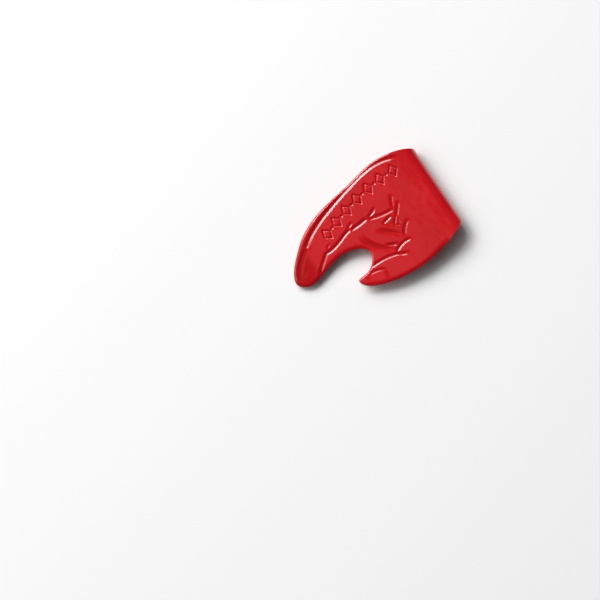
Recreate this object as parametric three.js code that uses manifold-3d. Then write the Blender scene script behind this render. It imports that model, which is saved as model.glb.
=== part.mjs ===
// A hand-shaped money clip: one strip of spring steel folded over at the wrist, with the same
// pointing hand cut at both ends. The steel is divided at the two lines where the fold begins,
// so that the fold can flex: a back leaf, a spring bend and a front leaf.
//
// Millimetres, +Z up. The clip lies on its back leaf. +X points to the fingertip and +Y to the thumb.
// The outline is drawn as seen from above, with x = 0 at the outside of the fold.
import * as THREE from "three";
import Module from "manifold-3d";
import { mergeVertices } from "three/addons/utils/BufferGeometryUtils.js";

// Driving dimensions
const SHEET = 0.5;                        // thickness of the painted steel
const BEND_RADIUS = 2.25;                 // of the fold, at mid-thickness
const LEAF_SLOPE = THREE.MathUtils.degToRad(4.85);  // the front leaf falls to the tip by this
const SEAM_GAP = 0.3;                     // between the bend and each leaf
const BACK_INSET = 0.5;                   // the back leaf is this much smaller all round
const ROLL_ANGLE = THREE.MathUtils.degToRad(60);    // how far the edges are turned inwards
const ROLL_RADIUS = 0.9;                  // of the outside of a turned edge
const ROLL_STEPS = 3;                     // facets across a turned edge
const ROLL_FADE = [3.5, 8];               // x over which the turned edge grows out of the flat fold
const THUMB_ROLL = 0.25;                  // share of the turned edge's width left at the thumb's tip
const THUMB_ROLL_REACH = 3.5;             // how far from the thumb's tip the edge is narrowed
const BEND_STEPS = 34;                    // facets round the fold
const CURVE_STEPS = 8;                    // points on each curve of the outline
const GROOVE_DEPTH = 0.16;                // of the lines pressed into the front leaf
const GROOVE_RADIUS = 0.35;               // of the round tool that presses them
const GROOVE_SIDES = 8;
const GROOVE_STEPS = 8;                   // facets along each line

const CENTRE_X = BEND_RADIUS + SHEET / 2;
const CENTRE_Z = BEND_RADIUS + SHEET / 2;
const BEND_ANGLE = Math.PI + LEAF_SLOPE;
const FRONT_SEAM_X = CENTRE_X + BEND_RADIUS * Math.sin(LEAF_SLOPE);
const FRONT_SEAM_Z = CENTRE_Z + BEND_RADIUS * Math.cos(LEAF_SLOPE);

// The hand, from the index finger's side of the fold round to the thumb's side of it.
// Each row is a cubic curve: two control points and an end point.
const FOLD_LOW = [0, -0.3];
const HAND = [
  [[1.3, -1.4], [5.5, -3.3], [10, -3.3]],            // wrist, on the index finger's side
  [[12.5, -3.3], [15.5, -2.55], [18, -2.1]],         // base of the index finger
  [[21, -1.65], [25, -1.2], [28, -0.4]],
  [[31, 0.4], [33.85, 1.72], [36.15, 3.7]],
  [[38.4, 5.64], [41.35, 8.1], [41.55, 10.45]],      // fingertip
  [[41.66, 11.75], [40, 12.93], [38.4, 13.05]],
  [[36.5, 13.2], [33, 11.25], [29, 11.05]],          // inside of the finger
  [[26.2, 10.91], [22.62, 12.4], [22.62, 14.45]],    // notch
  [[22.62, 15.7], [24.1, 17.55], [26, 17.95]],
  [[27.2, 18.2], [28.75, 17.95], [28.75, 18.65]],    // tip of the thumb
  [[28.75, 19.4], [28, 20.45], [27, 21.05]],
  [[24, 22.85], [19.6, 24], [14, 24]],               // back of the thumb
  [[9.5, 24], [3, 22.2], [0, 20]],                   // wrist, on the thumb's side
];
const THUMB_TIP = new THREE.Vector2(28.75, 18.65);

// Lines pressed into the front leaf. Each row is the four control points of a cubic curve.
const GROOVES = [
  [[3.9, -1], [9.5, -3.3], [12.5, -2.4], [20, -0.8]],        // border of the index finger
  [[20, -0.8], [26, 0.6], [31.5, 1.8], [35.2, 5.2]],
  [[12.6, 8.8], [14.5, 9.1], [17, 8.3], [18.8, 7.7]],        // where the curled fingers meet it
  [[19.2, 7.1], [20.4, 7.4], [21.6, 7.5], [22.8, 7.3]],
  [[23.8, 7], [26.2, 7], [27.5, 9], [31.3, 8.8]],
  [[31.5, 8.9], [32.7, 9.8], [33.6, 10.6], [35, 11.4]],
  [[16.2, 6.2], [16.6, 6.7], [17.2, 7], [18, 7.1]],          // knuckle creases
  [[22.7, 6.1], [23, 6.2], [23.4, 6.4], [23.8, 6.7]],
  [[10.2, 7.9], [10.8, 8.9], [11.5, 9.6], [12.2, 10.2]],     // creases across the back of the hand
  [[11.2, 13], [12.2, 13.6], [13, 14.3], [13.5, 15.4]],
  [[15.3, 19.3], [17.2, 19.1], [17.8, 17.4], [24.2, 17.4]],  // thumb
  [[12.5, 17], [14.3, 16.6], [15.6, 16.8], [17.1, 17.6]],
  [[17.8, 16.8], [19.4, 15.2], [21.4, 12.7], [21.9, 9.6]],   // the last curled finger
];

const smooth = (t) => THREE.MathUtils.smoothstep(t, 0, 1);
const curve = (from, row) => new THREE.CubicBezierCurve(
  ...[from, ...row].map(([x, y]) => new THREE.Vector2(x, y)));

/** Points of the hand's outline, in order, without its straight side at the fold. */
function handPoints() {
  const points = [new THREE.Vector2(...FOLD_LOW)];
  let from = FOLD_LOW;
  for (const row of HAND) {
    points.push(...curve(from, row).getPoints(CURVE_STEPS).slice(1));
    from = row[2];
  }
  return points;
}
const OUTLINE = handPoints();

/** Where one side of the outline crosses the line at x, near the fold. */
function edgeAt(x, points) {
  const next = points.findIndex((point) => point.x > x);
  const a = points[next - 1];
  const b = points[next];
  return THREE.MathUtils.mapLinear(x, a.x, b.x, a.y, b.y);
}
const lowEdge = (x) => edgeAt(x, OUTLINE);
const highEdge = (x) => edgeAt(x, [...OUTLINE].reverse());

/** Each point's direction towards the inside of the outline. */
function inwards(points) {
  return points.map((point, i) => {
    if (i === 0) return new THREE.Vector2(0, 1);
    if (i === points.length - 1) return new THREE.Vector2(0, -1);
    const along = points[i + 1].clone().sub(points[i - 1]).normalize();
    return new THREE.Vector2(-along.y, along.x);
  });
}

// Placing a point of the flat sheet: n is its height over mid-thickness, towards the outside.
const onFrontLeaf = (x, y, n) => new THREE.Vector3(
  x + n * Math.sin(LEAF_SLOPE),
  y,
  FRONT_SEAM_Z - (x - FRONT_SEAM_X) * Math.tan(LEAF_SLOPE) + n * Math.cos(LEAF_SLOPE));
const onBackLeaf = (x, y, n) => new THREE.Vector3(x, y, SHEET / 2 - n);
const onBend = (angle, y, n) => new THREE.Vector3(
  CENTRE_X - (BEND_RADIUS + n) * Math.sin(angle),
  y,
  CENTRE_Z - (BEND_RADIUS + n) * Math.cos(angle));

/** A mesh from lists of corners that share an index, two triangles to a quad. */
class Surface {
  constructor() {
    this.positions = [];
    this.triangles = [];
  }
  addRow(points) {
    return points.map((point) => {
      this.positions.push(point.x, point.y, point.z);
      return this.positions.length / 3 - 1;
    });
  }
  /** Joins two rows; seen from outside, b is on the left of a. */
  join(a, b) {
    for (let i = 0; i + 1 < a.length; i++) {
      this.triangles.push(a[i], a[i + 1], b[i + 1], a[i], b[i + 1], b[i]);
    }
  }
  /** Fills a flat outline, given its corners' indices and their places in the plan. */
  fill(row, plan, flip) {
    for (const [a, b, c] of THREE.ShapeUtils.triangulateShape(plan, [])) {
      this.triangles.push(row[a], row[flip ? c : b], row[flip ? b : c]);
    }
  }
  geometry(mirrored) {
    const triangles = mirrored ? this.triangles.toReversed() : this.triangles;
    const geometry = new THREE.BufferGeometry();
    geometry.setAttribute("position", new THREE.Float32BufferAttribute(this.positions, 3));
    geometry.setIndex(triangles);
    return geometry;
  }
}

/** A leaf: a pressed sheet in the hand's outline, whose edges are turned inwards. */
function leafGeometry({ place, mirrored, seamX, inset }) {
  const start = [seamX, lowEdge(seamX)];
  const end = [seamX, highEdge(seamX)];
  const hand = OUTLINE.filter((point) => point.x > seamX + 0.3);
  const edge = [new THREE.Vector2(...start), ...hand, new THREE.Vector2(...end)];
  const towards = inwards(edge);

  const sectionRow = (angle, n, radius) => {
    const plan = edge.map((point, i) => {
      const narrow = smooth(point.distanceTo(THUMB_TIP) / THUMB_ROLL_REACH);
      const width = THREE.MathUtils.lerp(THUMB_ROLL, 1, narrow);
      const reach = ROLL_RADIUS * Math.sin(ROLL_ANGLE) - radius * Math.sin(angle);
      return point.clone().addScaledVector(towards[i], (inset + reach) * width);
    });
    const drop = radius * (1 - Math.cos(angle));
    const points = plan.map((point) => {
      const turned = smooth((point.x - ROLL_FADE[0]) / (ROLL_FADE[1] - ROLL_FADE[0]));
      return place(point.x, point.y, n - drop * turned);
    });
    return { plan, points };
  };

  const surface = new Surface();
  const steps = Array.from({ length: ROLL_STEPS + 1 }, (_, i) => (ROLL_ANGLE * i) / ROLL_STEPS);
  const outer = steps.map((angle) => sectionRow(angle, SHEET / 2, ROLL_RADIUS));
  const inner = steps.map((angle) => sectionRow(angle, -SHEET / 2, ROLL_RADIUS - SHEET));
  const outerRows = outer.map((row) => surface.addRow(row.points));
  const innerRows = inner.map((row) => surface.addRow(row.points));
  for (let i = 0; i < ROLL_STEPS; i++) {
    surface.join(outerRows[i + 1], outerRows[i]);
    surface.join(innerRows[i], innerRows[i + 1]);
  }
  surface.join(innerRows[ROLL_STEPS], outerRows[ROLL_STEPS]);
  surface.fill(outerRows[0], outer[0].plan, false);
  surface.fill(innerRows[0], inner[0].plan, true);

  const across = (rows) => [
    ...rows.toReversed().map((row) => row[0]),
    ...rows.map((row) => row[row.length - 1]),
  ];
  surface.join(across(outerRows), across(innerRows));
  return surface.geometry(mirrored);
}

/** The fold: the sheet wrapped round from the back leaf to the front leaf. */
function bendGeometry() {
  const halfGap = SEAM_GAP / 2 / BEND_RADIUS;
  const rows = { lowOuter: [], highOuter: [], highInner: [], lowInner: [] };
  for (let i = 0; i <= BEND_STEPS; i++) {
    const angle = THREE.MathUtils.lerp(halfGap, BEND_ANGLE - halfGap, i / BEND_STEPS);
    const x = Math.max(CENTRE_X * (1 - Math.sin(angle)), 0);
    const inset = BACK_INSET * smooth(1 - angle / (Math.PI / 2));
    const low = lowEdge(x) + inset;
    const high = highEdge(x) - inset;
    rows.lowOuter.push(onBend(angle, low, SHEET / 2));
    rows.highOuter.push(onBend(angle, high, SHEET / 2));
    rows.highInner.push(onBend(angle, high, -SHEET / 2));
    rows.lowInner.push(onBend(angle, low, -SHEET / 2));
  }
  const surface = new Surface();
  const lowOuter = surface.addRow(rows.lowOuter);
  const highOuter = surface.addRow(rows.highOuter);
  const highInner = surface.addRow(rows.highInner);
  const lowInner = surface.addRow(rows.lowInner);
  surface.join(lowOuter, highOuter);
  surface.join(highOuter, highInner);
  surface.join(highInner, lowInner);
  surface.join(lowInner, lowOuter);
  const first = (row) => row[0];
  const last = (row) => row[row.length - 1];
  surface.join([first(highOuter), first(highInner)], [first(lowOuter), first(lowInner)]);
  surface.join([last(highInner), last(highOuter)], [last(lowInner), last(lowOuter)]);
  return surface.geometry(false);
}

const wasm = await Module();
wasm.setup();

/** A closed geometry as a manifold-3d solid. */
function solid(geometry) {
  const bare = geometry.clone();
  bare.deleteAttribute("normal");
  bare.deleteAttribute("uv");
  const merged = mergeVertices(bare);
  return new wasm.Manifold(new wasm.Mesh({
    numProp: 3,
    vertProperties: new Float32Array(merged.attributes.position.array),
    triVerts: new Uint32Array(merged.index.array),
  }));
}

/** The front leaf with its lines pressed in. */
function pressed(leaf) {
  const height = SHEET / 2 - GROOVE_DEPTH + GROOVE_RADIUS;
  const section = new THREE.Shape().absarc(0, 0, GROOVE_RADIUS, 0, 2 * Math.PI);
  const tools = GROOVES.map((points) => {
    const route = points.map(([x, y]) => onFrontLeaf(x, y, height));
    return solid(new THREE.ExtrudeGeometry(section, {
      steps: GROOVE_STEPS,
      curveSegments: GROOVE_SIDES / 4,
      extrudePath: new THREE.CubicBezierCurve3(...route),
    }));
  });
  return geometryOf(tools.reduce((rest, tool) => rest.subtract(tool), solid(leaf)));
}

function geometryOf(manifold) {
  const mesh = manifold.getMesh();
  const geometry = new THREE.BufferGeometry();
  geometry.setAttribute("position", new THREE.BufferAttribute(mesh.vertProperties, 3));
  geometry.setIndex(new THREE.BufferAttribute(mesh.triVerts, 1));
  return geometry;
}

const enamel = new THREE.MeshStandardMaterial({ color: 0xc4242a, roughness: 0.28, metalness: 0 });
const clip = new THREE.Group();
const backLeaf = leafGeometry({
  place: onBackLeaf, mirrored: true, seamX: CENTRE_X + SEAM_GAP / 2, inset: BACK_INSET,
});
const frontLeaf = leafGeometry({
  place: onFrontLeaf, mirrored: false, seamX: FRONT_SEAM_X + SEAM_GAP / 2, inset: 0,
});
for (const [name, geometry] of [
  ["back_leaf", backLeaf],
  ["spring_bend", bendGeometry()],
  ["front_leaf", pressed(frontLeaf)],
]) {
  const mesh = new THREE.Mesh(geometry, enamel);
  mesh.name = name;
  clip.add(mesh);
}

// The origin is under the middle of the clip, where it lies.
const box = new THREE.Box3().setFromObject(clip);
const middle = box.getCenter(new THREE.Vector3());
clip.position.set(-middle.x, -middle.y, -box.min.z);

export default clip;
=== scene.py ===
"""Looks of the hand-shaped money clip: two leaves of pressed, enamelled spring steel and the fold.

The hand is drawn in the plan, in millimetres, as part.mjs draws it: x from the outside of the fold
to the fingertip and y to the thumb. A point of the sheet is (x, y, n), where n is its height over
mid-thickness, towards the outside of the clip. placed_on_front() and the others turn it into a
point of the CAD frame, in metres.
"""
import math

import bpy
import numpy as np
from mathutils import Matrix, Vector
from mathutils.geometry import delaunay_2d_cdt
from mathutils.kdtree import KDTree


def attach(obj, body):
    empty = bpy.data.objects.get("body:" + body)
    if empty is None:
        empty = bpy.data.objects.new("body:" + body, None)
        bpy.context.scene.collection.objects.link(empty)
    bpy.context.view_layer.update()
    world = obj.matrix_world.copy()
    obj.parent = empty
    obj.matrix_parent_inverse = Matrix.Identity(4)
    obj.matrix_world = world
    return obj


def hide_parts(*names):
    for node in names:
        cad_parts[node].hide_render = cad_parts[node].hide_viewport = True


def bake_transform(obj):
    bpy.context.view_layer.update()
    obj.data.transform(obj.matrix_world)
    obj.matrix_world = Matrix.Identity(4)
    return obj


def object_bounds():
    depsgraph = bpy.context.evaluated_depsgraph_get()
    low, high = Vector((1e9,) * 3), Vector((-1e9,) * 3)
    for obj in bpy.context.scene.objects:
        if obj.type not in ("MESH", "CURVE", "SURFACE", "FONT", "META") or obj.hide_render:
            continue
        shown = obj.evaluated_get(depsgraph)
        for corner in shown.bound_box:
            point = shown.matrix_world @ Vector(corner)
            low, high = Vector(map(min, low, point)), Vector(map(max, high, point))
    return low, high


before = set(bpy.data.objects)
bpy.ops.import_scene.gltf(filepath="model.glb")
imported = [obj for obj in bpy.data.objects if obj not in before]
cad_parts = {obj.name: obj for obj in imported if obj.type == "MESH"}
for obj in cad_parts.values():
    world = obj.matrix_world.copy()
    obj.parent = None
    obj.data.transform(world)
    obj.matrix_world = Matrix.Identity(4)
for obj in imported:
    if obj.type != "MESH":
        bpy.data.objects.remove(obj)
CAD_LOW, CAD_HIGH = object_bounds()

MM = 0.001

# The sheet and its fold, as in part.mjs, in millimetres.
SHEET = 0.5
BEND_RADIUS = 2.25
LEAF_SLOPE = math.radians(4.85)
BACK_INSET = 0.5
ROLL_ANGLE = math.radians(60)
ROLL_RADIUS = 0.9
ROLL_WIDTH = ROLL_RADIUS * math.sin(ROLL_ANGLE)
ROLL_FADE = (4.2, 9.0)           # x over which the edge comes to be turned over
ROLL_SPREAD = (0.7, 1.5)         # multiples of ROLL_WIDTH where the edge faces -Y and faces +Y
ROLL_FACING = (-0.6, 0.6)        # the outline's outward y direction at those two
THUMB_ROLL = 0.45                # share of the turned edge's width left at the thumb's tip
THUMB_INSET = 0.25               # share of the back leaf's inset left there
THUMB_ROLL_REACH = 3.5           # distance from the thumb's tip over which both are made up
CENTRE = BEND_RADIUS + SHEET / 2
FRONT_SEAM_X = CENTRE + BEND_RADIUS * math.sin(LEAF_SLOPE)
FRONT_SEAM_Z = CENTRE + BEND_RADIUS * math.cos(LEAF_SLOPE)
RUN_ON = 1.2                     # the fold's pieces run on into the flat leaves by this
FRONT_START = FRONT_SEAM_X + RUN_ON
BACK_START = CENTRE + RUN_ON
CROWN = math.pi / 2              # the angle of the fold's outermost line
NEAR_FOLD = 12                   # up to here, x only grows along each side of the outline
CUT_CLEARANCE = 0.05             # least x between a leaf's cut and its first outline point
EDGE_BULGE = 0.08                # how far the enamel rounds the cut edge
EDGE_STEPS = 5                   # facets across the cut edge
TIP_DROOP = 0.25                 # how far the fingertip curves down
TIP_DROOP_FROM = 35
TIP_SHADE = 0.75                  # how much painted shade darkens the fingertip, from 0 to 1
TIP_SHADE_FROM = (34.2, 36.2)     # x over which it comes to that
SHADE_FULL_DEPTH = 0.215               # how deep a mark is where its painted shade is full
LINE_SPACING = 0.1               # how finely a line is cut up to measure distances to it
OUTLINE_SPACING = 0.16           # how far apart the outline's own points are
OUTLINE_STEPS = 40               # to each of the outline's cubic curves, before they are evened out
CURVE_STEPS = 24                 # to each cubic curve of a mark

# Cubic curves of the hand's outline: two control points and an end point each.
FOLD_LOW = (0, -0.3)
HAND = (
    ((1.3, -1.4), (5.5, -3.3), (10, -3.3)),            # wrist, on the index finger's side
    ((12.5, -3.3), (15.5, -2.55), (18, -2.1)),         # base of the index finger
    ((21, -1.65), (25, -1.2), (28, -0.4)),
    ((31, 0.4), (33.85, 1.72), (36.15, 3.7)),
    ((38.4, 5.64), (41.35, 8.1), (41.55, 10.45)),      # fingertip
    ((41.66, 11.75), (40, 12.93), (38.4, 13.05)),
    ((36.5, 13.2), (33, 11.25), (29, 11.05)),          # inside of the finger
    ((26.2, 10.91), (22.62, 12.4), (22.62, 14.45)),    # notch
    ((22.62, 15.7), (24.1, 17.55), (26, 17.95)),
    ((27.2, 18.2), (28.75, 17.95), (28.75, 18.65)),    # tip of the thumb
    ((28.75, 19.4), (28, 20.45), (27, 21.05)),
    ((24, 22.85), (19.6, 24), (14, 24)),               # back of the thumb
    ((9.5, 24), (3, 22.2), (0, 20)),                   # wrist, on the thumb's side
)
HAND_LOW_Y = -3.3
HAND_TIP_X = 41.55
THUMB_TIP = (28.75, 18.65)

# The border of the index finger: its half widths towards the hand and the edge, its depth, the
# lengths over which it fades in and out, and the control points of cubic curves that meet.
BORDER = ((0.76, 0.95), 0.25, (6, 1.2), (
    (2.7, -0.15), (9.5, -3.7), (12.5, -2.75), (20, -1.1), (26, 0.45), (31.5, 1.85), (35.2, 5.2)))

# Lines pressed into the front leaf: half width, depth, and control points of cubic curves.
LINES = (
    # where the curled fingers meet the index finger
    (0.56, 0.15, ((11.5, 8.75), (14, 9.05), (16.8, 8.2), (19.3, 7.2))),
    (0.56, 0.21, ((18.1, 7.1), (20.2, 7.3), (21.8, 7.5), (24.1, 7.3))),
    (0.56, 0.2, (
        (22.6, 7.05), (25.8, 6.95), (27.5, 9), (31.4, 8.7), (32.4, 9.4), (33.6, 10.4), (35.9, 12.2))),
    # knuckle creases
    (0.5, 0.16, ((15.4, 5.6), (16.2, 6.5), (17, 7.0), (19, 7.2))),
    (0.45, 0.15, ((21.8, 5.7), (22.6, 6.1), (23.4, 6.4), (24.6, 7.1))),
    (0.42, 0.11, ((29.2, 6.9), (29.8, 7.3), (30.4, 7.7), (31.1, 8.4))),
    # creases across the back of the hand
    (0.54, 0.16, ((9.9, 7.5), (11.1, 9.0), (11.8, 9.8), (12.9, 11.2))),
    (0.52, 0.12, ((10.5, 5.1), (11.2, 6.3), (11.8, 7.6), (12.4, 9.1))),
    (0.54, 0.14, ((10.2, 12.5), (12, 13.5), (12.9, 14.3), (13.7, 16.3))),
    (0.38, 0.09, ((12.4, 10.8), (12.6, 11.8), (12.9, 12.6), (13.4, 13.4))),
    (0.45, 0.17, ((13.1, 9.7), (14.2, 10.05), (15.1, 10.3), (16.7, 10.4))),
    (0.42, 0.15, ((12.2, 10), (13, 10.9), (13.6, 11.6), (14.5, 12.7))),
    (0.4, 0.13, ((12.5, 13.3), (13.2, 12.7), (13.7, 12.3), (14.3, 11.9))),
    # thumb
    (0.5, 0.16, (
        (14.5, 19.5), (15.8, 19.3), (16.4, 19), (17, 18.6), (18.6, 17.6), (21.4, 17.3), (25.2, 17.4))),
    (0.5, 0.19, ((12.2, 17.1), (14.3, 16.6), (15.6, 16.8), (17.7, 18.0))),
    (0.45, 0.22, ((15.8, 16.6), (16.8, 16), (17.6, 15.5), (18.7, 14.8))),
    (0.38, 0.12, ((15.5, 16.5), (16, 16.1), (16.4, 15.9), (17, 15.5))),
)

LEAN = 1.5                       # how much wider a line's wall towards -Y is than the other
LINE_TAPER = 3                   # how many half widths a line takes to fade in and out
FOLD_TAPER = 4                   # the same for a soft fold

# Soft folds between the curled fingers, wider than the lines.
FOLDS = (
    (0.75, 0.1, ((13.6, 12.2), (14.6, 11.6), (15.4, 10.9), (16.6, 9.9))),
    (0.85, 0.17, ((13.5, 15.2), (15.4, 13.5), (16.8, 11.9), (18.8, 10.4))),
    (1.0, 0.2, ((17.0, 17.0), (20.2, 15.2), (22.3, 12.5), (22.4, 8.9))),
)

# The border's soft run round the fingertip: half widths, depth, fades and control points.
TIP_BORDER = ((1.2, 0.8), 0.15, (2, 2), ((33.6, 4.2), (37, 6.2), (39.9, 8.3), (40.4, 11.6)))

# Nails: the index finger's, seen from its side, and the thumb's.
NAILS = (
    (0.55, 0.07, ((37.0, 8.4), (38.0, 9.7), (38.8, 10.6), (39.9, 11.0))),
    (0.45, 0.12, ((21.5, 19.9), (23.3, 18.8), (25.2, 18.3), (26.2, 18.9))),
    (0.35, 0.09, ((26, 18.7), (26.4, 18.9), (26.5, 19.3), (26.4, 20.0))),
    (0.42, 0.09, ((22.7, 22.5), (22.3, 21.6), (22.1, 20.8), (22.1, 19.5))),
)

# A plain running ornament along the index finger: diamonds with a dot between each two.
BAND = ((7.2, 1.2), (13, 0.6), (22, 2.4), (28.6, 5.0))
DIAMONDS = 7
DIAMOND_REACH = (1.05, 1.45)     # along the band and across it
ORNAMENT = (0.34, 0.15)          # half width and depth of its strokes
DOT = (0.45, 0.19)               # radius and depth
DOT_LENGTH = 0.02                # of the short line that a dot is pressed along
BAND_SPACING = 0.02              # how finely the band is cut up

# How fine a leaf's mesh is, in millimetres: near marks, near the turned edge, and elsewhere.
FINE = 0.1
MEDIUM = 0.17
COARSE = 0.4
EDGE_ZONE = 1.1                  # how wide the medium mesh is
RINGS = (0.03, 0.07, 0.12, 0.19, 0.28, 0.39, 0.51)   # rows of points that follow the outline
CUT_RINGS = RINGS[:5]            # and the same distances from the ends of a leaf's cut
NEAR_MARK = 1.1                  # a point is near a mark up to this many half widths from it
UNFOLDED = 0.95                  # a row's point is kept if it is this share of its offset from
OFF_CUT = 0.6                    # the outline, and this share of it from the loop
WELD = 1e-7                      # points of the plan nearer than this would be one
CHUNK = 4000                     # points tested at a time, to spare memory

# How fine the fold's mesh is.
STRIP_COLUMNS = 20
STRIP_MARGIN = (0, 0.0015, 0.004, 0.012)     # shares of the width, close together at the cut edge
QUARTER_STEPS = 120              # facets round each half of the fold
RUN_ON_STEPS = 3

# Linear colours of the enamel: its own, a deeper cloud of it, and painted shade in the marks and at the
# fingertip.
ENAMEL_BRIGHT = (0.6, 0.0055, 0.010)
ENAMEL_DEEP = (0.54, 0.004, 0.008)
ENAMEL_PAINTED_SHADE = (0.36, 0.001, 0.003)
CLOUD_SCALE = 160
CLOUD_RANGE = (0.35, 0.65)       # of the noise, from the deeper colour to the enamel's own
SHADE_RANGE = (0.1, 1)            # of the painted shade value, over which the shade colour comes in
SHADE_SHARE = 0.8                 # the most that it comes to
ENAMEL_ROUGHNESS = (0.24, 0.34)
SMEAR_SCALE = 420
SMEAR_RANGE = (0.3, 0.7)         # of the noise, over that roughness
WAVE_SCALE = 300
WAVE_HEIGHT = 0.000025           # of the sheet's unevenness, in metres
PEEL_SCALE = 1400
PEEL_HEIGHT = 0.0000035          # of the orange peel
ENAMEL_IOR = 1.5
ENAMEL_SPECULAR = 0.2
COAT_ROUGHNESS = 0.07

# The view: straight down, with the clip off to the upper right of its middle.
VIEW_RIGHT = Vector((-0.8263, 0.5632, 0))
VIEW_UP = Vector((-0.5632, -0.8263, 0))
VIEW_MIDDLE = (42.93, 14.25)     # in the drawing, in millimetres
VIEW_WIDTH = 0.1439              # at the middle of the fold's height, in metres
LENS = 120
SENSOR = 36

# The floor and the light.
FLOOR_REACH = 1.0
FLOOR_GAP = 0.00005
FLOOR_COLOUR = (0.93, 0.93, 0.93)
FLOOR_ROUGHNESS = 0.6
WORLD_STRENGTH = 0.06
KEY_SIZE = (1.48, 0.96)
CORE_SIZE = (0.6, 0.32)
OVERHEAD_SIZE = (0.5, 0.15)


def smooth(t):
    t = np.clip(t, 0, 1)
    return t * t * (3 - 2 * t)


def cubic(points, steps=CURVE_STEPS):
    """Points along one cubic curve or more that meet, from their control points."""
    points = np.array(points, float)
    t = np.linspace(0, 1, steps + 1)[:, None]
    pieces = [points[:1]]
    for i in range(0, len(points) - 1, 3):
        a, b, c, d = points[i:i + 4]
        curve = (1 - t) ** 3 * a + 3 * (1 - t) ** 2 * t * b + 3 * (1 - t) * t ** 2 * c + t ** 3 * d
        pieces.append(curve[1:])
    return np.vstack(pieces)


def lengths_along(line):
    """How far along a line each of its points is."""
    steps = np.linalg.norm(np.diff(line, axis=0), axis=1)
    return np.concatenate(([0], np.cumsum(steps)))


def evenly(line, spacing):
    """The same line with points about that far apart."""
    length = lengths_along(line)
    stations = np.linspace(0, length[-1], max(int(round(length[-1] / spacing)), 1) + 1)
    return np.column_stack([np.interp(stations, length, line[:, k]) for k in (0, 1)])


def inwards(line):
    """Unit directions to the left of a line: the inside of the outline."""
    along = np.gradient(line, axis=0)
    along /= np.linalg.norm(along, axis=1)[:, None]
    return np.column_stack([-along[:, 1], along[:, 0]])


def nearest_of(line, points):
    """The index of the line's own point that is nearest to each point."""
    tree = KDTree(len(line))
    for i, (x, y) in enumerate(line):
        tree.insert((x, y, 0), i)
    tree.balance()
    return np.array([tree.find((x, y, 0))[1] for x, y in points], int)


def distance(points, line):
    """Each point's distance to a line, how far along it that is, and if the point is to its left."""
    line = evenly(line, LINE_SPACING)
    nearest = nearest_of(line, points)
    step = np.linalg.norm(np.diff(line, axis=0), axis=1)
    before = lengths_along(line)
    gap = np.full(len(points), np.inf)
    place = np.zeros(len(points))
    left = np.zeros(len(points), bool)
    for first in (nearest - 1, nearest):
        first = np.clip(first, 0, len(line) - 2)
        along = line[first + 1] - line[first]
        offset = points - line[first]
        t = np.clip((offset * along).sum(1) / step[first] ** 2, 0, 1)
        gap_here = np.linalg.norm(offset - t[:, None] * along, axis=1)
        better = gap_here < gap
        gap[better] = gap_here[better]
        place[better] = (before[first] + t * step[first])[better]
        left[better] = (along[:, 0] * offset[:, 1] > along[:, 1] * offset[:, 0])[better]
    return gap, place, left


def distance_to_loop(points, loop):
    return distance(points, np.vstack([loop, loop[:1]]))[0]


def inside(points, loop):
    """Whether each point is inside a closed loop, by the crossings of a ray along +X."""
    a = loop
    b = np.roll(loop, -1, axis=0)
    rise = np.where(a[:, 1] == b[:, 1], 1, b[:, 1] - a[:, 1])
    result = np.zeros(len(points), bool)
    for i in range(0, len(points), CHUNK):
        x = points[i:i + CHUNK, :1]
        y = points[i:i + CHUNK, 1:]
        spans = (a[:, 1] > y) != (b[:, 1] > y)
        crossing = a[:, 0] + (y - a[:, 1]) * (b[:, 0] - a[:, 0]) / rise
        result[i:i + CHUNK] = (spans & (x < crossing)).sum(1) % 2 == 1
    return result


def thumb_share(points, least):
    """The share of a width that is left near the sharp tip of the thumb."""
    reach = np.linalg.norm(points - np.array(THUMB_TIP), axis=1) / THUMB_ROLL_REACH
    return least + (1 - least) * smooth(reach)


HAND_POINTS = [FOLD_LOW] + [point for row in HAND for point in row]
OUTLINE = evenly(cubic(HAND_POINTS, OUTLINE_STEPS), OUTLINE_SPACING)
BACK_SHARE = BACK_INSET * thumb_share(OUTLINE, THUMB_INSET)
BACK_OUTLINE = OUTLINE + inwards(OUTLINE) * BACK_SHARE[:, None]


def roll_share(x):
    """How far the edge is turned over: not at all at the fold, fully on the hand."""
    return smooth((x - ROLL_FADE[0]) / (ROLL_FADE[1] - ROLL_FADE[0]))


def roll_width(points, place, outline):
    """The turned edge's width as a share of ROLL_WIDTH, by which way the outline faces at its place."""
    facing = np.interp(place, lengths_along(outline), -inwards(outline)[:, 1])
    spread = np.interp(facing, ROLL_FACING, ROLL_SPREAD)
    share = thumb_share(points, THUMB_ROLL)
    return share * (1 + (spread - 1) * (share - THUMB_ROLL) / (1 - THUMB_ROLL))


def turned_edge(points, outline, radius):
    """How far a face of the sheet drops towards the edge. Its radius is the turned edge's."""
    gap, place, _ = distance(points, outline)
    gap = gap / roll_width(points, place, outline)
    into = np.clip(ROLL_WIDTH - gap, 0, radius * math.sin(ROLL_ANGLE))
    return (radius - np.sqrt(radius ** 2 - into ** 2)) * roll_share(points[:, 0])


def droop(x):
    """How far the fingertip has curved down at x."""
    return TIP_DROOP * (np.clip(x - TIP_DROOP_FROM, 0, None) / (HAND_TIP_X - TIP_DROOP_FROM)) ** 2


def tip_shade(x):
    """How much painted shade darkens the enamel at x, towards the fingertip."""
    start, full = TIP_SHADE_FROM
    return TIP_SHADE * smooth((x - start) / (full - start))


# A mark is its half widths to the left and right, its depth, the lengths over which it fades in and
# out or None, and its line.


def borders():
    return [(*row[:3], cubic(row[3])) for row in (BORDER, TIP_BORDER)]


def strokes(rows, taper, lean):
    """Marks from rows of half width, depth and control points. They fade over taper half widths."""
    return [((half, half * lean), depth, (taper * half, taper * half), cubic(points))
            for half, depth, points in rows]


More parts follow.
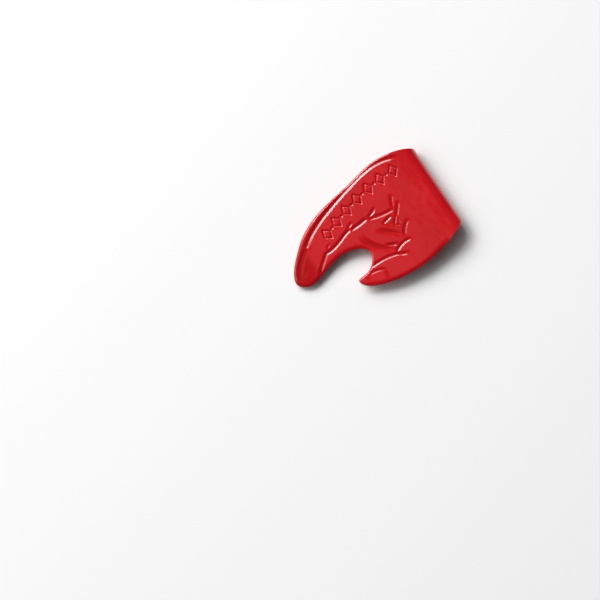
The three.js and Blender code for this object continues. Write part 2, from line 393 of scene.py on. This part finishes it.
def diamond(centre, ahead, up):
    long, wide = DIAMOND_REACH
    corners = [ahead * long, up * wide, -ahead * long, -up * wide, ahead * long]
    half, depth = ORNAMENT
    return (half, half), depth, None, centre + np.array(corners)


def dot(centre, ahead):
    radius, depth = DOT
    line = np.array([centre - DOT_LENGTH / 2 * ahead, centre + DOT_LENGTH / 2 * ahead])
    return (radius, radius), depth, None, line


def ornament():
    """Marks for the diamonds along the band and the dots between them."""
    band = evenly(cubic(BAND), BAND_SPACING)
    across = inwards(band)
    made = []
    for turn, i in enumerate(np.linspace(0, len(band) - 1, 2 * DIAMONDS - 1).astype(int)):
        up = across[i]
        ahead = np.array([up[1], -up[0]])
        made.append(dot(band[i], ahead) if turn % 2 else diamond(band[i], ahead, up))
    return made


def pressed_depth(points, marks):
    """How deep the marks are pressed in at each point, and whether it is near one."""
    depth = np.zeros(len(points))
    near = np.zeros(len(points), bool)
    for halves, deepest, tapers, line in marks:
        low = line.min(0) - max(halves)
        high = line.max(0) + max(halves)
        close = np.flatnonzero(((points > low) & (points < high)).all(1))
        if not len(close):
            continue
        gap, place, left = distance(points[close], line)
        half = np.where(left, *halves)
        ends = 1.0
        if tapers:
            total = lengths_along(line)[-1]
            ends = smooth(place / tapers[0]) * smooth((total - place) / tapers[1])
        valley = (1 - np.clip(gap / half, 0, 1) ** 2) ** 2
        depth[close] = np.maximum(depth[close], deepest * valley * ends)
        near[close] |= gap < half * NEAR_MARK
    return depth, near


def grid(low, high, spacing):
    """Points of a triangular grid that fills a box."""
    rows = np.arange(low[1], high[1], spacing * math.sqrt(3) / 2)
    columns = np.arange(low[0], high[0], spacing)
    x, y = np.meshgrid(columns, rows)
    x = x + (np.arange(len(rows)) % 2 * spacing / 2)[:, None]
    return np.column_stack([x.ravel(), y.ravel()])


def filling(loop, outline, marks, spacing):
    """The grid's points inside a loop where the mesh has this spacing."""
    points = grid(loop.min(0), loop.max(0), spacing)
    near = pressed_depth(points, marks)[1]
    points = points[near if spacing == FINE else ~near]
    points = points[inside(points, loop)]
    gap = distance(points, outline)[0]
    keep = (gap > RINGS[-1] + spacing / 2) & (distance_to_loop(points, loop) > spacing / 2)
    if spacing == MEDIUM:
        keep &= gap < EDGE_ZONE
    if spacing == COARSE:
        keep &= gap >= EDGE_ZONE
    return points[keep]


def ring(loop, outline, offset):
    """Points inside a loop that follow the outline, this far from it."""
    edge = outline[outline[:, 0] > loop[:, 0].min() + MEDIUM]
    points = edge + inwards(edge) * offset
    unfolded = distance(points, outline)[0] > UNFOLDED * offset
    points = points[unfolded & inside(points, loop)]
    return points[distance_to_loop(points, loop) > OFF_CUT * offset]


def wound(points, faces):
    """The same triangles, each with its corners anticlockwise in the plan."""
    a, b, c = (points[faces[:, k]] for k in range(3))
    turn = (b[:, 0] - a[:, 0]) * (c[:, 1] - a[:, 1]) - (b[:, 1] - a[:, 1]) * (c[:, 0] - a[:, 0])
    faces[turn < 0] = faces[turn < 0][:, ::-1]
    return faces


def triangulated(loop, outline, marks):
    """A plan mesh inside a closed loop. Its first points are the loop's own."""
    chosen = [filling(loop, outline, marks, spacing) for spacing in (FINE, MEDIUM, COARSE)]
    chosen += [ring(loop, outline, offset) for offset in RINGS]
    points = np.vstack([loop, *chosen])
    edges = [(i, (i + 1) % len(loop)) for i in range(len(loop))]
    made = delaunay_2d_cdt([Vector(p) for p in points], edges, [], 1, WELD)
    faces, origins = made[2], made[3]
    if sorted(index for origin in origins for index in origin) != list(range(len(points))):
        raise ValueError(f"the plan mesh lost some of its {len(points)} points")
    if len(origins) != len(points):
        raise ValueError(f"the plan mesh has {len(origins)} points for {len(points)}")
    return points, wound(points, np.array([[origins[i][0] for i in face] for face in faces]))


def in_frame(x, y, z):
    """A point of the drawing as a point of the CAD frame, in metres."""
    x = CAD_LOW.x + np.asarray(x, float) * MM
    y = CAD_LOW.y + (np.asarray(y, float) - HAND_LOW_Y) * MM
    z = CAD_LOW.z + np.asarray(z, float) * MM
    return np.column_stack(np.broadcast_arrays(x, y, z))


def placed_on_front(x, y, n):
    z = FRONT_SEAM_Z - (x - FRONT_SEAM_X) * math.tan(LEAF_SLOPE) + n * math.cos(LEAF_SLOPE)
    return in_frame(x + n * math.sin(LEAF_SLOPE), y, z)


def placed_on_back(x, y, n):
    return in_frame(x, y, SHEET / 2 - n)


def placed_on_bend(angle, y, n):
    """The angle is 0 where the fold leaves the back leaf."""
    reach = BEND_RADIUS + n
    return in_frame(CENTRE - reach * math.sin(angle), y, CENTRE - reach * math.cos(angle))


def piece(name, points, faces, flat_faces, painted_shade=None):
    """A closed mesh object. Its flat faces are the ends that meet the next piece."""
    mesh = bpy.data.meshes.new(name)
    mesh.from_pydata(points.tolist(), [], [list(map(int, face)) for face in (*faces, *flat_faces)])
    smooth_faces = np.ones(len(mesh.polygons), bool)
    smooth_faces[len(faces):] = False
    mesh.polygons.foreach_set("use_smooth", smooth_faces)
    sharp = {key for face in mesh.polygons[len(faces):] for key in face.edge_keys}
    mesh.edges.foreach_set("use_edge_sharp", [edge.key in sharp for edge in mesh.edges])
    # Values of painted shade, which the enamel reads to darken itself.
    if painted_shade is not None:
        mesh.attributes.new("painted_shade", "FLOAT", "POINT").data.foreach_set("value", painted_shade)
    mesh.validate()
    mesh.update()
    obj = bpy.data.objects.new(name, mesh)
    bpy.context.scene.collection.objects.link(obj)
    mesh.materials.append(ENAMEL)
    return obj


def ends_at(outline, x):
    """Where the outline's two sides cross the line at x, near the fold."""
    half = len(outline) // 2
    found = []
    for side in (outline[:half], outline[half:][::-1]):
        stretch = side[:np.argmax(side[:, 0] > NEAR_FOLD)]
        found.append(np.interp(x, stretch[:, 0], stretch[:, 1]))
    return found


def bulge():
    """Shares of the way across the cut edge, and how far it stands out there."""
    share = np.arange(1, EDGE_STEPS) / EDGE_STEPS
    return zip(share, EDGE_BULGE * 4 * share * (1 - share))


def cut_points(low, high):
    """Places across the sheet from high to low, close together at both ends."""
    fine = np.array(CUT_RINGS)
    middle = np.linspace(high - COARSE, low + COARSE, round((high - low) / COARSE) - 1)
    return np.concatenate((high - fine, middle, low + fine[::-1]))


def leaf_edges(outline, start_x):
    """In the plan: the outer face's edge, the inner face's, and the cut where the leaf starts."""
    low, high = ends_at(outline, start_x)
    hand = outline[outline[:, 0] > start_x + CUT_CLEARANCE]
    outer = np.vstack([(start_x, low), hand, (start_x, high)])
    towards = inwards(outer)
    towards[0] = (0, 1)
    towards[-1] = (0, -1)
    reach = (ROLL_WIDTH - (ROLL_RADIUS - SHEET) * math.sin(ROLL_ANGLE)) * roll_share(outer[:, 0])
    reach *= roll_width(outer, distance(outer, outline)[1], outline)
    cut = np.array([(start_x, y) for y in cut_points(low, high)])
    return outer, outer + towards * reach[:, None], cut


def cut_edge(outer, inner):
    """Rows of points across the cut edge, between its outer and inner corners."""
    ahead = np.gradient(outer, axis=0)
    ahead[0] = ahead[-1] = (0, 0, 0)
    across = inner - outer
    out = np.cross(across, ahead)
    out[0] = (0, -1, 0)
    out[-1] = (0, 1, 0)
    out /= np.linalg.norm(out, axis=1)[:, None]
    out[1:-1] *= np.sign((out[1] * (0, -1, 0)).sum())
    return [outer + across * share + out * height * MM for share, height in bulge()]


def end_cap(rows, cut_size, inner_start):
    """Faces that close the sheet along its cut. The rows run round the cut edge."""
    size = len(rows[0])
    outer = [size - 1, *range(size, size + cut_size), 0]
    inner = [i + inner_start for i in outer]
    cap = [(a, c, d, b) for a, b, c, d in zip(outer, outer[1:], inner, inner[1:])]
    cap.append([row[0] for row in rows][::-1])
    cap.append([row[-1] for row in rows])
    return cap


def leaf(name, outline, start_x, marks, place, mirrored):
    """One leaf: an outer and an inner face of the pressed sheet, and the rounded cut edge between.

    The mirrored one, the back leaf, has no droop and no painted shade at its fingertip.
    """
    outer_edge, inner_edge, cut = leaf_edges(outline, start_x)
    points, faces, painted_shade = [], [], []
    sides = ((outer_edge, ROLL_RADIUS, 1, marks), (inner_edge, ROLL_RADIUS - SHEET, -1, []))
    for edge, radius, side, pressed in sides:
        plan, made = triangulated(np.vstack([edge, cut]), outline, pressed)
        depth = pressed_depth(plan, pressed)[0]
        n = side * SHEET / 2 - turned_edge(plan, outline, radius) - depth
        if not mirrored:
            n = n - droop(plan[:, 0])
        faces += [tuple(face) for face in made[:, ::side] + sum(map(len, points))]
        points.append(place(plan[:, 0], plan[:, 1], n))
        # Painted shade: darker in the pressed marks, and towards the fingertip on the front leaf.
        painted_shade.append(depth / SHADE_FULL_DEPTH + tip_shade(plan[:, 0]) * (not mirrored))

    size = len(outer_edge)
    inner_start = len(points[0])
    edge_start = inner_start + len(points[1])
    between = cut_edge(points[0][:size], points[1][:size])
    starts = [0, *(edge_start + i * size for i in range(len(between))), inner_start]
    rows = [np.arange(start, start + size) for start in starts]
    for a, b in zip(rows, rows[1:]):
        faces += list(zip(a[1:], a[:-1], b[:-1], b[1:]))
    points += between
    # The cut edge gets the fingertip's painted shade too.
    painted_shade += [tip_shade(outer_edge[:, 0]) * (not mirrored)] * len(between)

    cap = end_cap(rows, len(cut), inner_start)
    if mirrored:
        faces = [face[::-1] for face in faces]
        cap = [face[::-1] for face in cap]
    return piece(name, np.vstack(points), faces, cap, np.concatenate(painted_shade))


def bend_sections(first_angle, last_angle):
    """Stations of the fold: how to place a point, and the ends of the sheet's width there."""
    for angle in np.linspace(first_angle, last_angle, QUARTER_STEPS + 1):
        x = max(CENTRE * (1 - math.sin(angle)), 0)
        share = smooth(1 - angle / CROWN)
        outer = np.array(ends_at(OUTLINE, x))
        inner = np.array(ends_at(BACK_OUTLINE, x))
        low, high = outer * (1 - share) + inner * share
        yield (lambda y, n, angle=angle: placed_on_bend(angle, y, n)), low, high


def flat_sections(place, outline, first_x, last_x):
    """The same along a flat leaf."""
    for x in np.linspace(first_x, last_x, RUN_ON_STEPS + 1):
        low, high = ends_at(outline, x)
        yield (lambda y, n, x=x: place(x, y, n)), low, high


def section(place, low, high):
    """The sheet's own section at a station: the outer face, an edge, the inner face and an edge."""
    columns = np.linspace(0, 1, STRIP_COLUMNS + 1)
    columns = np.concatenate((STRIP_MARGIN, columns[1:-1], 1 - np.array(STRIP_MARGIN[::-1])))
    across = low + (high - low) * columns
    share, height = np.array(list(bulge())).T
    y = np.concatenate((across, high + height, across[::-1], low - height))
    face = np.full(len(columns), SHEET / 2)
    falling = SHEET / 2 - SHEET * share
    n = np.concatenate((face, falling, -face, -falling))
    return place(y, n)


def strip(name, sections):
    """A stretch of the sheet, swept through its sections from the back leaf's end to the front's."""
    rows = [section(*station) for station in sections]
    size = len(rows[0])
    faces = []
    for start in range(0, (len(rows) - 1) * size, size):
        for i in range(size):
            j = (i + 1) % size
            faces.append((start + i, start + size + i, start + size + j, start + j))
    last = (len(rows) - 1) * size
    ends = [list(range(size)), list(range(last, last + size))[::-1]]
    return piece(name, np.vstack(rows), faces, ends)


def noise(nodes, coordinates, scale, detail, roughness=0.5):
    node = nodes.new("ShaderNodeTexNoise")
    node.inputs["Scale"].default_value = scale
    node.inputs["Detail"].default_value = detail
    node.inputs["Roughness"].default_value = roughness
    nodes.id_data.links.new(coordinates, node.inputs["Vector"])
    return node.outputs["Fac"]


def ranged(nodes, value, old, new):
    """A value mapped from the old range to the new one."""
    node = nodes.new("ShaderNodeMapRange")
    for socket, number in zip(("From Min", "From Max", "To Min", "To Max"), (*old, *new)):
        node.inputs[socket].default_value = number
    nodes.id_data.links.new(value, node.inputs["Value"])
    return node.outputs["Result"]


def mixed(nodes, share, a, b):
    """Colour a where the share is 0 and b where it is 1."""
    node = nodes.new("ShaderNodeMix")
    node.data_type = "RGBA"
    for socket, colour in ((node.inputs["A"], a), (node.inputs["B"], b)):
        if isinstance(colour, tuple):
            socket.default_value = (*colour, 1)
        else:
            nodes.id_data.links.new(colour, socket)
    nodes.id_data.links.new(share, node.inputs["Factor"])
    return node.outputs["Result"]


def bumped(nodes, height, distance, normal=None):
    node = nodes.new("ShaderNodeBump")
    node.inputs["Distance"].default_value = distance
    nodes.id_data.links.new(height, node.inputs["Height"])
    if normal:
        nodes.id_data.links.new(normal, node.inputs["Normal"])
    return node.outputs["Normal"]


def enamel():
    """Glossy red stoving enamel: slightly uneven, with a fine orange peel, and painted shade that
    darkens it in the pressed marks and towards the fingertip.
    """
    material = bpy.data.materials.new("red_enamel")
    material.use_nodes = True
    tree = material.node_tree
    nodes = tree.nodes
    link = tree.links.new
    shader = nodes["Principled BSDF"]
    place = nodes.new("ShaderNodeTexCoord").outputs["Object"]

    clouds = ranged(nodes, noise(nodes, place, CLOUD_SCALE, 3), CLOUD_RANGE, (0, 1))
    colour = mixed(nodes, clouds, ENAMEL_DEEP, ENAMEL_BRIGHT)
    # Painted shade: the enamel darkens in the pressed marks and towards the fingertip, from a value
    # stored on the mesh.
    painted_shade = nodes.new("ShaderNodeAttribute")
    painted_shade.attribute_name = "painted_shade"
    shade_amount = ranged(nodes, painted_shade.outputs["Fac"], SHADE_RANGE, (0, SHADE_SHARE))
    link(mixed(nodes, shade_amount, colour, ENAMEL_PAINTED_SHADE), shader.inputs["Base Color"])

    smear = noise(nodes, place, SMEAR_SCALE, 4, 0.6)
    link(ranged(nodes, smear, SMEAR_RANGE, ENAMEL_ROUGHNESS), shader.inputs["Roughness"])
    waves = bumped(nodes, noise(nodes, place, WAVE_SCALE, 1), WAVE_HEIGHT)
    peel = bumped(nodes, noise(nodes, place, PEEL_SCALE, 2), PEEL_HEIGHT, waves)
    link(peel, shader.inputs["Normal"])
    link(peel, shader.inputs["Coat Normal"])
    shader.inputs["IOR"].default_value = ENAMEL_IOR
    shader.inputs["Specular IOR Level"].default_value = ENAMEL_SPECULAR
    shader.inputs["Coat Weight"].default_value = 1.0
    shader.inputs["Coat Roughness"].default_value = COAT_ROUGHNESS
    shader.inputs["Coat IOR"].default_value = ENAMEL_IOR
    return material


def plain(name, colour, roughness):
    material = bpy.data.materials.new(name)
    material.use_nodes = True
    shader = material.node_tree.nodes["Principled BSDF"]
    shader.inputs["Base Color"].default_value = (*colour, 1)
    shader.inputs["Roughness"].default_value = roughness
    return material


def floor():
    """A plain pale table top under the clip."""
    mesh = bpy.data.meshes.new("floor")
    reach = FLOOR_REACH
    corners = [(-reach, -reach), (reach, -reach), (reach, reach), (-reach, reach)]
    mesh.from_pydata([(x, y, CAD_LOW.z - FLOOR_GAP) for x, y in corners], [], [(0, 1, 2, 3)])
    obj = bpy.data.objects.new("floor", mesh)
    bpy.context.scene.collection.objects.link(obj)
    mesh.materials.append(plain("floor", FLOOR_COLOUR, FLOOR_ROUGHNESS))


def camera():
    """Looks straight down, turned so that the finger points to the lower left."""
    data = bpy.data.cameras.new("camera")
    data.lens = LENS
    data.sensor_width = SENSOR
    obj = bpy.data.objects.new("camera", data)
    bpy.context.scene.collection.objects.link(obj)
    height = VIEW_WIDTH * LENS / SENSOR
    data.clip_start = height / 100
    data.clip_end = height * 100
    middle = Vector(in_frame(*VIEW_MIDDLE, CENTRE)[0])
    turn = Matrix((VIEW_RIGHT, VIEW_UP, VIEW_RIGHT.cross(VIEW_UP))).transposed()
    obj.matrix_world = Matrix.Translation(middle + Vector((0, 0, height))) @ turn.to_4x4()
    bpy.context.scene.camera = obj


def softbox(name, azimuth, elevation, reach, size, radiance):
    """A softbox that faces the clip, from a direction in degrees and a distance in metres."""
    data = bpy.data.lights.new(name, "AREA")
    data.shape = "RECTANGLE"
    data.size, data.size_y = size
    data.energy = radiance * math.pi * size[0] * size[1]
    obj = bpy.data.objects.new(name, data)
    bpy.context.scene.collection.objects.link(obj)
    turn = math.radians(azimuth)
    rise = math.radians(elevation)
    level = math.cos(rise)
    towards = Vector((math.cos(turn) * level, math.sin(turn) * level, math.sin(rise)))
    obj.location = (CAD_LOW + CAD_HIGH) / 2 + towards * reach
    obj.rotation_euler = towards.to_track_quat("Z", "Y").to_euler()


def surroundings():
    world = bpy.data.worlds.new("studio")
    world.use_nodes = True
    background = world.node_tree.nodes["Background"]
    background.inputs["Color"].default_value = (1, 1, 1, 1)
    background.inputs["Strength"].default_value = WORLD_STRENGTH
    bpy.context.scene.world = world


bpy.context.scene.view_settings.view_transform = "Standard"
ENAMEL = enamel()
camera()
surroundings()
floor()
softbox("key", azimuth=-80, elevation=40, reach=1.8, size=KEY_SIZE, radiance=7.4)
softbox("key_core", azimuth=-74, elevation=41, reach=1.78, size=CORE_SIZE, radiance=12)
softbox("key_left", azimuth=-125, elevation=40, reach=1.8, size=KEY_SIZE, radiance=0.8)
softbox("key_right", azimuth=-35, elevation=40, reach=1.8, size=KEY_SIZE, radiance=2.2)
softbox("overhead", azimuth=0, elevation=82.7, reach=1.6, size=OVERHEAD_SIZE, radiance=0.34)

MARKS = borders() + strokes(LINES, LINE_TAPER, LEAN) + strokes(FOLDS, FOLD_TAPER, 1)
MARKS += strokes(NAILS, LINE_TAPER, LEAN) + ornament()

front = leaf("enamelled_front_leaf", OUTLINE, FRONT_START, MARKS, placed_on_front, False)
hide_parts("front_leaf")
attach(front, "front_leaf")

back = leaf("enamelled_back_leaf", BACK_OUTLINE, BACK_START, [], placed_on_back, True)
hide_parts("back_leaf")
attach(back, "back_leaf")

lower = strip("fold_lower_half", [
    *flat_sections(placed_on_back, BACK_OUTLINE, BACK_START, CENTRE + RUN_ON / 4),
    *bend_sections(0, CROWN),
])
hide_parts("spring_bend")
crown = in_frame(0, 0, CENTRE)[0]
placed_on_back(BACK_START, 0, 0)[0]
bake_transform(lower)

upper = strip("fold_upper_half", [
    *bend_sections(CROWN, math.pi + LEAF_SLOPE),
    *flat_sections(placed_on_front, OUTLINE, FRONT_SEAM_X + RUN_ON / 4, FRONT_START),
])
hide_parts("spring_bend")
placed_on_front(FRONT_START, 0, 0)[0]
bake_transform(upper)
